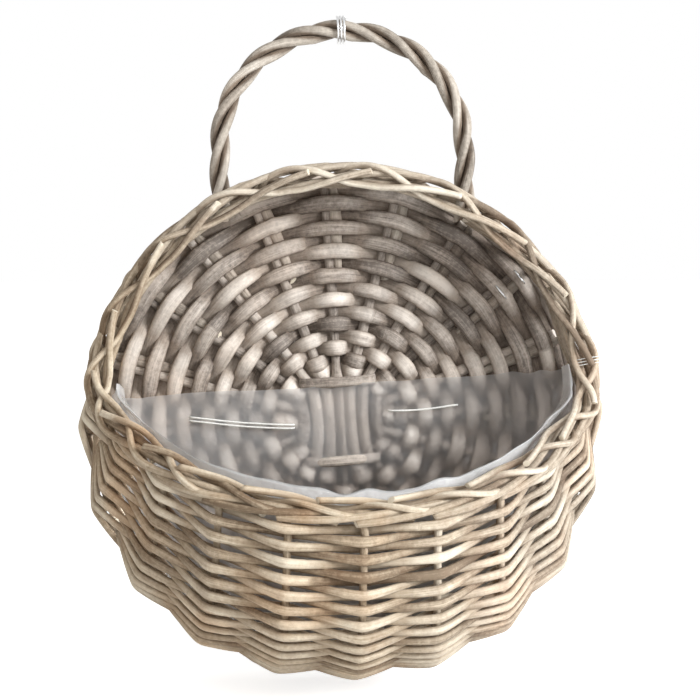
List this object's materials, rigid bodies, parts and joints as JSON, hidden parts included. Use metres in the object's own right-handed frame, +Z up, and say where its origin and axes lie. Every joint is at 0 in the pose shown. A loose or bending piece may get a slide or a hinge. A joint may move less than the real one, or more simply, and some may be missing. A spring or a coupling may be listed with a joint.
{
  "type": "hanging planter basket",
  "caption": "Half-round willow wall basket with a woven back disc, a woven pocket with a film liner, a rope border and a twisted arch handle to hang it by.",
  "frame": {"origin": "the underside of the handle's crown, where the hook carries the basket", "axes": "+Z up, +Y into the wall behind the basket, +X to the viewer's right; the pocket faces -Y"},
  "size_m": [0.2907, 0.1555, 0.3639],
  "materials": {
    "willow_back": "weathered grey-brown willow, matte",
    "willow_front": "washed grey-beige willow, matte",
    "willow_handle": "washed grey-beige willow, matte",
    "film": "clear soft film",
    "thread": "white thread",
    "steel": "bright wire"
  },
  "bodies": {
    "root": {"upright_stick_1": "willow_back", "upright_stick_2": "willow_back", "upright_stick_3": "willow_back", "upright_stick_4": "willow_back", "upright_stick_5": "willow_back", "upright_stick_6": "willow_back", "upright_stick_7": "willow_back", "cross_stick_1": "willow_back", "cross_stick_2": "willow_back", "cross_stick_3": "willow_back", "slath_binding": "willow_back", "back_weaver_a": "willow_back", "back_weaver_b": "willow_back", "stake_01": "willow_front", "stake_02": "willow_front", "stake_03": "willow_front", "stake_04": "willow_front", "stake_05": "willow_front", "stake_06": "willow_front", "stake_07": "willow_front", "stake_08": "willow_front", "stake_09": "willow_front", "stake_10": "willow_front", "stake_11": "willow_front", "stake_12": "willow_front", "stake_13": "willow_front", "stake_14": "willow_front", "stake_15": "willow_front", "stake_16": "willow_front", "stake_17": "willow_front", "stake_18": "willow_front", "stake_19": "willow_front", "stake_20": "willow_front", "wall_weaver_1": "willow_front", "wall_weaver_2": "willow_front", "side_weaver": "willow_front", "top_weaver": "willow_front", "pocket_weaver_01": "willow_front", "pocket_weaver_02": "willow_front", "pocket_weaver_03": "willow_front", "pocket_weaver_04": "willow_front", "pocket_weaver_05": "willow_front", "pocket_weaver_06": "willow_front", "pocket_weaver_07": "willow_front", "pocket_weaver_08": "willow_front", "pocket_weaver_09": "willow_front", "pocket_weaver_10": "willow_front", "pocket_weaver_11": "willow_front", "pocket_weaver_12": "willow_front", "handle_strand_1": "willow_handle", "handle_strand_2": "willow_handle", "handle_strand_3": "willow_handle", "liner": "film", "liner_stitch_left": "thread", "liner_stitch_right": "thread", "corner_tie": "thread", "handle_tie": "steel", "staple_1": "steel", "staple_2": "steel"}
  },
  "joints": []
}
